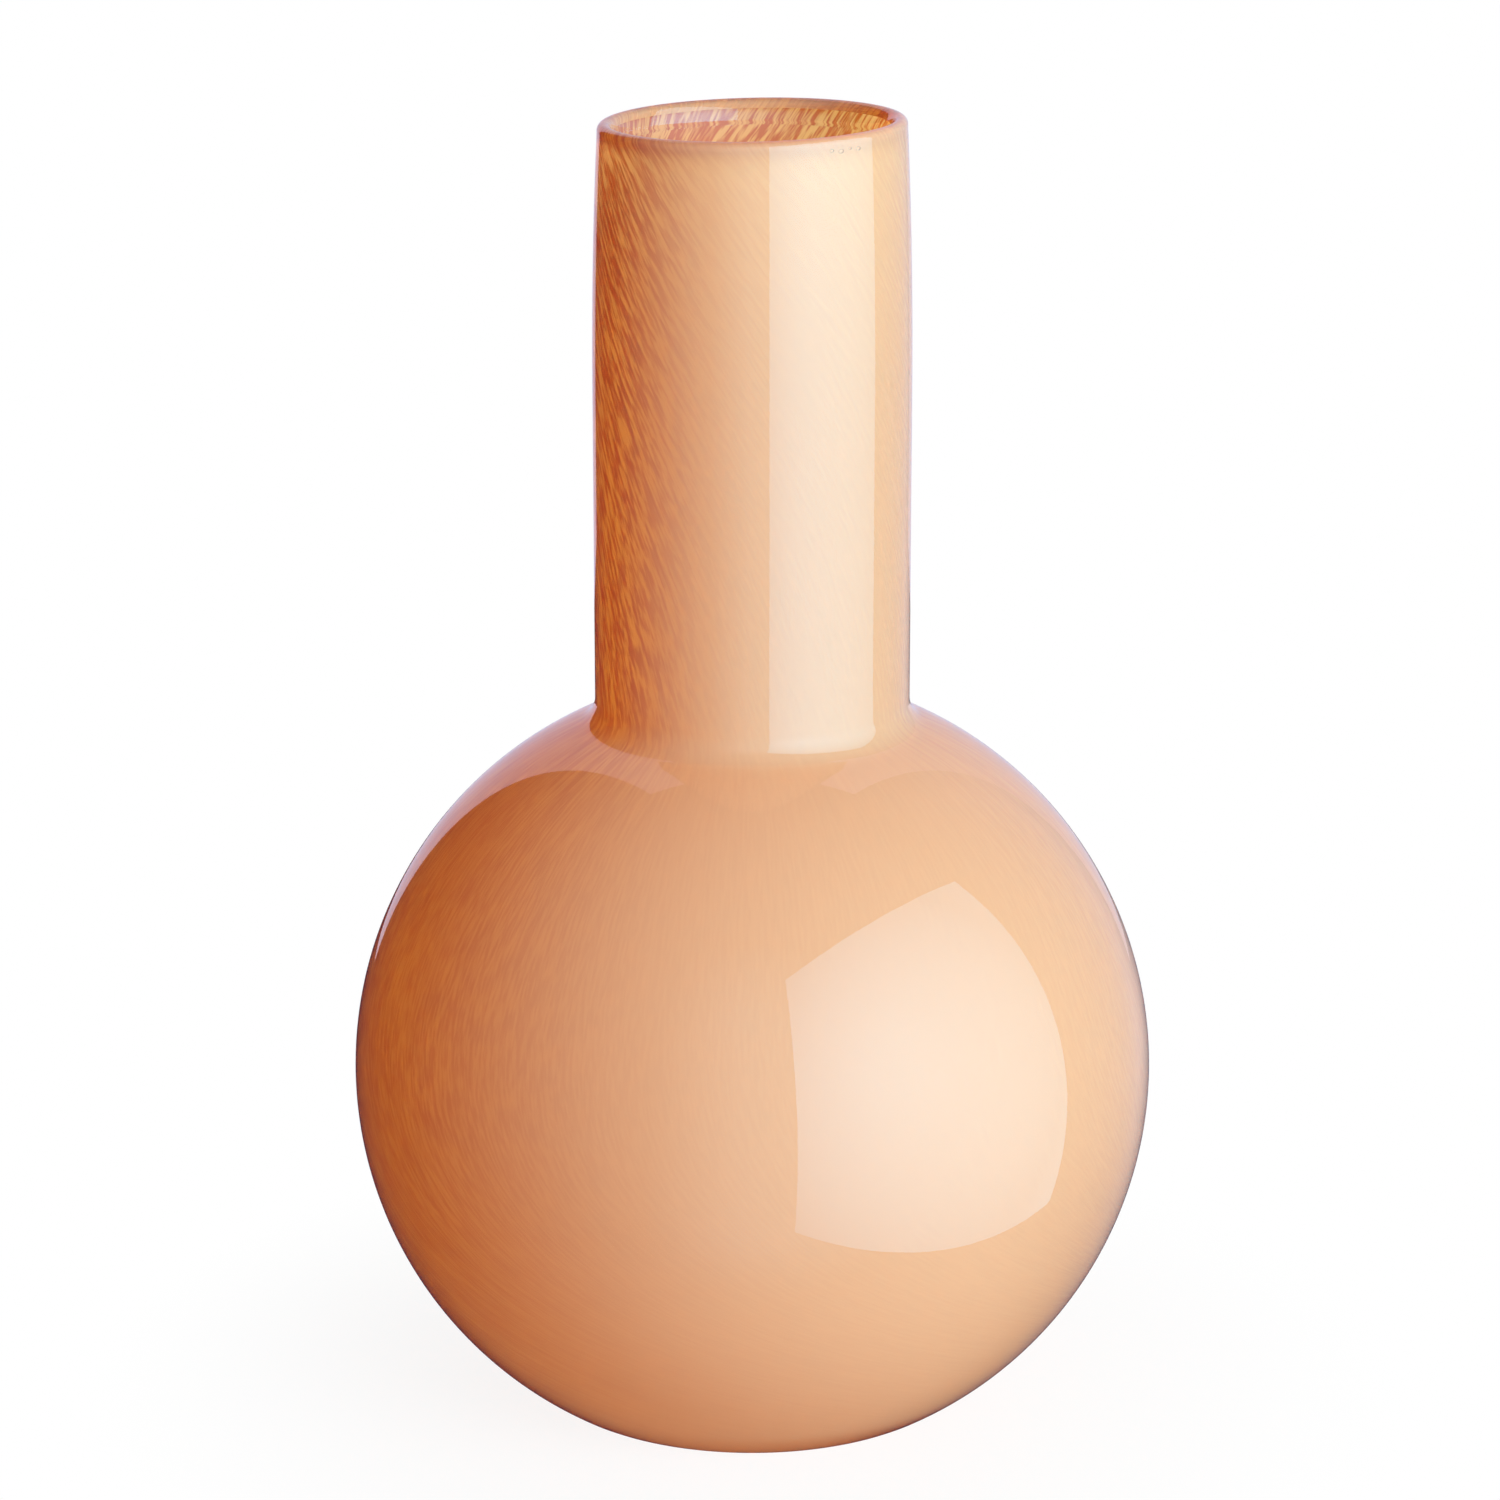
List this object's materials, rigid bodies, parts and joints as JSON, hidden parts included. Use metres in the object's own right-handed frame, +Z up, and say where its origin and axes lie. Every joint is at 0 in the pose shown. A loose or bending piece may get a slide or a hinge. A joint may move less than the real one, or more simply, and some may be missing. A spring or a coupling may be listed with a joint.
{
  "type": "vase",
  "caption": "Round bottle vase of layered glass: a globe on a small flat foot with a tall straight neck and an open, rounded lip.",
  "frame": {"origin": "centre of the flat foot, on the surface that the vase stands on", "axes": "+Z up the axis of the globe and neck; the vase is round, so X and Y are free"},
  "size_m": [0.18, 0.18, 0.292],
  "materials": {
    "casing_glass": "clear, fire polished",
    "colour_glass": "apricot, streaked, nearly opaque",
    "lining_glass": "clear, smooth"
  },
  "bodies": {
    "root": {"clear_casing": "casing_glass", "colour_layer": "colour_glass", "clear_lining": "lining_glass"}
  },
  "joints": []
}
